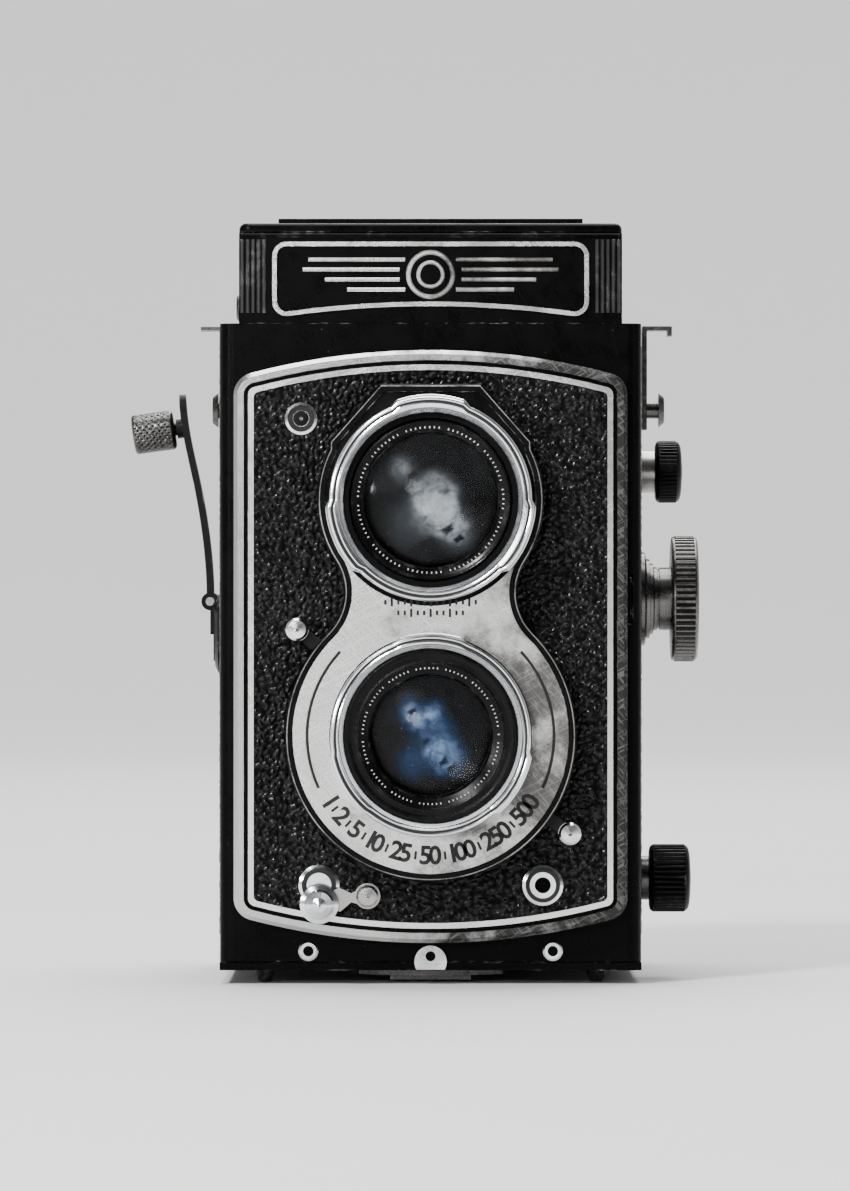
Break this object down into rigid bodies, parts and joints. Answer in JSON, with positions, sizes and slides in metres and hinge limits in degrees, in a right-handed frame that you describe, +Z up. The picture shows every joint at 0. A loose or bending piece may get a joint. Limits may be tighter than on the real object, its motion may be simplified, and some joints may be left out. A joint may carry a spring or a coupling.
{
  "type": "twin lens reflex camera",
  "caption": "Box-shaped twin lens reflex camera for roll film, with a sliding front panel, folding waist-level hood, winding crank, side knobs and a hinged back.",
  "frame": {"origin": "centre of the tripod bush's mouth on the underside", "axes": "+X towards the focusing knob, -Y towards the subject, +Z up towards the hood"},
  "size_m": [0.1049, 0.0905, 0.1381],
  "materials": {
    "black_enamel": "gloss, worn at edges",
    "dark_inside": "matt",
    "leather": "pebbled",
    "chrome": "polished, slightly worn",
    "satin_nickel": "satin, worn",
    "steel": "brushed",
    "knurled_steel": "knurled",
    "brass": "machined",
    "coated_glass": "coated",
    "ground_glass": "ground",
    "mirror": "front silvered"
  },
  "bodies": {
    "camera_body": {"body_casting": "black_enamel", "left_side_cover": "leather", "right_side_cover": "leather", "crank_escutcheon": "black_enamel", "tripod_bush": "steel", "chin_fittings": "chrome", "strap_studs": "steel", "strap_clips": "steel", "light_box": "dark_inside", "reflex_mirror": "mirror", "focusing_screen": "ground_glass", "hood_base": "black_enamel", "nameplate_frame": "chrome", "door_hinge": "black_enamel"},
    "lower_roller": {"lower_film_roller": "steel"},
    "upper_roller": {"upper_film_roller": "steel"},
    "takeup_spool": {"takeup_spool": "dark_inside", "takeup_gear": "brass"},
    "supply_spool": {"supply_spool": "dark_inside"},
    "idler": {"idler_gear": "brass"},
    "crank": {"crank_hub": "steel", "crank_pin": "steel"},
    "crank_arm": {"crank_arm": "black_enamel"},
    "crank_handle": {"crank_handle": "knurled_steel"},
    "upper_knob_sleeve": {"upper_knob_sleeve": "chrome"},
    "upper_knob": {"upper_spool_knob": "black_enamel"},
    "lower_knob_sleeve": {"lower_knob_sleeve": "chrome"},
    "lower_knob": {"lower_spool_knob": "black_enamel"},
    "focus_knob": {"focus_knob": "knurled_steel", "focus_cam": "brass"},
    "front_standard": {"front_standard": "black_enamel", "panel_rim": "satin_nickel", "panel_trim": "chrome", "front_leather": "leather", "panel_collars": "chrome", "lens_housing": "black_enamel", "face_plate": "satin_nickel", "viewing_bayonet": "chrome", "taking_bayonet": "chrome", "viewing_barrel": "black_enamel", "taking_barrel": "black_enamel", "viewing_glass": "coated_glass", "taking_glass": "coated_glass", "shutter_unit": "dark_inside"},
    "aperture_lever": {"aperture_lever": "chrome"},
    "speed_lever": {"speed_lever": "chrome"},
    "release_button": {"release_button": "chrome"},
    "release_lock": {"release_lock": "steel"},
    "hood_lid": {"hood_lid": "black_enamel"},
    "finder_flap": {"finder_flap": "black_enamel"},
    "magnifier": {"magnifier": "black_enamel", "magnifier_lens": "coated_glass"},
    "left_flap": {"left_hood_flap": "black_enamel"},
    "right_flap": {"right_hood_flap": "black_enamel"},
    "back_flap": {"back_hood_flap": "black_enamel"},
    "hood_button": {"hood_button": "steel"},
    "back_door": {"back_door": "black_enamel", "pressure_plate": "dark_inside", "door_feet": "steel"},
    "door_latch": {"door_latch": "steel"}
  },
  "joints": [
    {"name": "focus_knob_turn", "type": "hinge", "parent": "camera_body", "child": "focus_knob", "pos_m": [0.044, 0.002, 0.0669], "axis": [1, 0, 0], "range_deg": [0, 300]},
    {"name": "focus_slide", "type": "slide", "parent": "camera_body", "child": "front_standard", "axis": [0, -1, 0], "range_m": [0, 0.0065]},
    {"name": "crank_turn", "type": "hinge", "parent": "camera_body", "child": "crank", "pos_m": [-0.039, 0.0092, 0.0607], "axis": [1, 0, 0], "range_deg": [-180, 360]},
    {"name": "crank_fold", "type": "hinge", "parent": "crank", "child": "crank_arm", "pos_m": [-0.0408, 0.0092, 0.0664], "axis": [0, -1, 0], "range_deg": [0, 168]},
    {"name": "crank_handle_spin", "type": "hinge", "parent": "crank_arm", "child": "crank_handle", "pos_m": [-0.0455, 0.0092, 0.0986], "axis": [-0.9903, 0, -0.1392], "continuous": true},
    {"name": "idler_turn", "type": "hinge", "parent": "camera_body", "child": "idler", "pos_m": [-0.0356, 0.01913, 0.0766], "axis": [1, 0, 0], "continuous": true},
    {"name": "takeup_turn", "type": "hinge", "parent": "camera_body", "child": "takeup_spool", "pos_m": [0, 0.028, 0.0908], "axis": [1, 0, 0], "continuous": true},
    {"name": "upper_knob_pull", "type": "slide", "parent": "camera_body", "child": "upper_knob_sleeve", "axis": [1, 0, 0], "range_m": [0, 0.005]},
    {"name": "upper_knob_turn", "type": "hinge", "parent": "upper_knob_sleeve", "child": "upper_knob", "pos_m": [0.044, 0.028, 0.0908], "axis": [1, 0, 0], "continuous": true},
    {"name": "supply_turn", "type": "hinge", "parent": "camera_body", "child": "supply_spool", "pos_m": [0, -0.008, 0.0158], "axis": [1, 0, 0], "continuous": true},
    {"name": "lower_knob_pull", "type": "slide", "parent": "camera_body", "child": "lower_knob_sleeve", "axis": [1, 0, 0], "range_m": [0, 0.005]},
    {"name": "lower_knob_turn", "type": "hinge", "parent": "lower_knob_sleeve", "child": "lower_knob", "pos_m": [0.044, -0.008, 0.0158], "axis": [1, 0, 0], "continuous": true},
    {"name": "lower_roller_spin", "type": "hinge", "parent": "camera_body", "child": "lower_roller", "pos_m": [0, 0.0335, 0.0095], "axis": [1, 0, 0], "continuous": true},
    {"name": "upper_roller_spin", "type": "hinge", "parent": "camera_body", "child": "upper_roller", "pos_m": [0, 0.0335, 0.0756], "axis": [1, 0, 0], "continuous": true},
    {"name": "aperture_lever_swing", "type": "hinge", "parent": "front_standard", "child": "aperture_lever", "pos_m": [0, -0.036, 0.0425], "axis": [0, -1, 0], "range_deg": [0, 68]},
    {"name": "speed_lever_swing", "type": "hinge", "parent": "front_standard", "child": "speed_lever", "pos_m": [0, -0.036, 0.0425], "axis": [0, -1, 0], "range_deg": [0, 68]},
    {"name": "release_press", "type": "slide", "parent": "front_standard", "child": "release_button", "axis": [0, 1, 0], "range_m": [0, 0.0012], "stiffness_N_per_m": 600, "springref_m": -0.0005},
    {"name": "release_lock_swing", "type": "hinge", "parent": "front_standard", "child": "release_lock", "pos_m": [-0.0113, -0.036, 0.0137], "axis": [0, -1, 0], "range_deg": [0, 25]},
    {"name": "hood_lid_hinge", "type": "hinge", "parent": "camera_body", "child": "hood_lid", "pos_m": [0, -0.0286, 0.133], "axis": [1, 0, 0], "range_deg": [0, 90]},
    {"name": "finder_flap_hinge", "type": "hinge", "parent": "hood_lid", "child": "finder_flap", "pos_m": [0, 0.014, 0.1338], "axis": [1, 0, 0], "range_deg": [0, 36]},
    {"name": "magnifier_hinge", "type": "hinge", "parent": "hood_lid", "child": "magnifier", "pos_m": [0, 0.026, 0.1314], "axis": [1, 0, 0], "range_deg": [0, 90]},
    {"name": "left_flap_hinge", "type": "hinge", "parent": "camera_body", "child": "left_flap", "pos_m": [-0.0315, 0, 0.1225], "axis": [0, -1, 0], "range_deg": [0, 90]},
    {"name": "right_flap_hinge", "type": "hinge", "parent": "camera_body", "child": "right_flap", "pos_m": [0.0315, 0, 0.1225], "axis": [0, 1, 0], "range_deg": [0, 90]},
    {"name": "back_flap_hinge", "type": "hinge", "parent": "camera_body", "child": "back_flap", "pos_m": [0, 0.03, 0.1216], "axis": [-1, 0, 0], "range_deg": [0, 90]},
    {"name": "hood_button_press", "type": "slide", "parent": "camera_body", "child": "hood_button", "axis": [1, 0, 0], "range_m": [0, 0.0008], "stiffness_N_per_m": 600, "springref_m": -0.0003},
    {"name": "back_door_hinge", "type": "hinge", "parent": "camera_body", "child": "back_door", "pos_m": [0, 0.042, 0.1056], "axis": [1, 0, 0], "range_deg": [0, 110]},
    {"name": "door_latch_turn", "type": "hinge", "parent": "back_door", "child": "door_latch", "pos_m": [0, -0.0205, -0.001], "axis": [0, 0, 1], "range_deg": [0, 70]}
  ],
  "couplings": [
    {"joint": "focus_knob_turn", "follows": "focus_slide", "rad_per_m": 805.5},
    {"joint": "idler_turn", "follows": "crank_turn", "ratio": -1.7778},
    {"joint": "takeup_turn", "follows": "crank_turn", "ratio": 1.2},
    {"joint": "upper_knob_turn", "follows": "crank_turn", "ratio": 1.2},
    {"joint": "lower_knob_turn", "follows": "supply_turn", "ratio": 1},
    {"joint": "finder_flap_hinge", "follows": "hood_lid_hinge", "ratio": 0.4},
    {"joint": "magnifier_hinge", "follows": "hood_lid_hinge", "ratio": 1},
    {"joint": "left_flap_hinge", "follows": "hood_lid_hinge", "ratio": 1},
    {"joint": "right_flap_hinge", "follows": "hood_lid_hinge", "ratio": 1},
    {"joint": "back_flap_hinge", "follows": "hood_lid_hinge", "ratio": 1}
  ]
}
